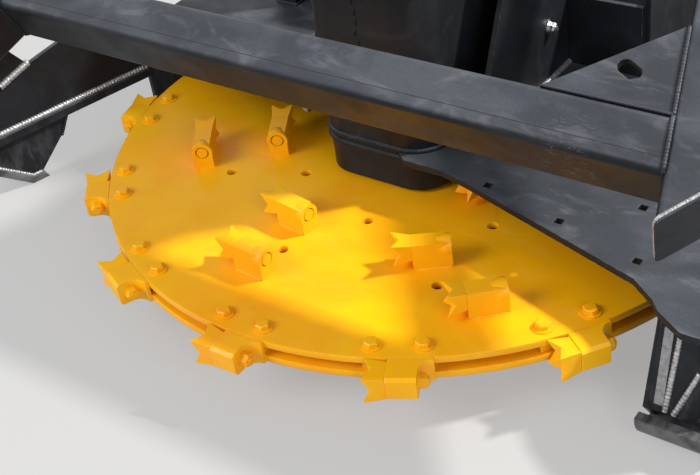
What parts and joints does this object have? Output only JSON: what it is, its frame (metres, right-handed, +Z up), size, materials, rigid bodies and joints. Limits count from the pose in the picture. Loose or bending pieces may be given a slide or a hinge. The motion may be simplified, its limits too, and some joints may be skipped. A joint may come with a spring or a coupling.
{
  "type": "disc mulcher",
  "caption": "Disc mulcher attachment: horizontal toothed disc rotor under an open-front deck with tilted push bar, spindle tower, skid shoes and loader coupler plate.",
  "frame": {"origin": "centre of the bounding box's base, on the ground under the skids", "axes": "+X to the machine's own left seen from its coupler, -Y is the working front, +Y points to the carrier, +Z up"},
  "size_m": [1.8356, 1.6622, 0.8919],
  "materials": {
    "rotor_paint": "glossy yellow paint",
    "frame_paint": "satin black paint",
    "worn_sole": "black paint worn to steel under the sole",
    "motor_casting": "painted casting",
    "bright_steel": "machined"
  },
  "bodies": {
    "frame": {"arm_caps": "frame_paint", "arm_posts": "frame_paint", "corner_gussets": "frame_paint", "coupler_ledge": "frame_paint", "coupler_lip": "frame_paint", "coupler_plate": "frame_paint", "deck_plate": "frame_paint", "frame_webs": "frame_paint", "left_rub_bar": "frame_paint", "left_wing": "frame_paint", "leg_left_plate": "frame_paint", "leg_right_front": "frame_paint", "leg_right_plate": "frame_paint", "motor_body": "motor_casting", "motor_flange": "motor_casting", "motor_plate": "frame_paint", "motor_ports": "motor_casting", "push_arms": "frame_paint", "push_bar": "frame_paint", "rear_cross_tube": "frame_paint", "runner_left": "worn_sole", "runner_right": "worn_sole", "shoe_left": "worn_sole", "spindle_tower": "frame_paint", "tower_back": "frame_paint", "tower_cheeks": "frame_paint", "wall_back": "frame_paint", "wall_corners": "frame_paint", "wall_left": "frame_paint", "wall_right": "frame_paint", "web_links": "frame_paint"},
    "rotor": {"disc_bottom_plate": "rotor_paint", "disc_hub": "rotor_paint", "disc_top_plate": "rotor_paint", "rim_holders": "rotor_paint", "rim_teeth": "rotor_paint", "spindle_shaft": "bright_steel", "top_holders": "rotor_paint", "top_teeth": "rotor_paint"}
  },
  "joints": [
    {"name": "rotor_spin", "type": "hinge", "parent": "frame", "child": "rotor", "pos_m": [0.07985, -0.06888, 0.116], "axis": [0, 0, -1], "continuous": true}
  ]
}
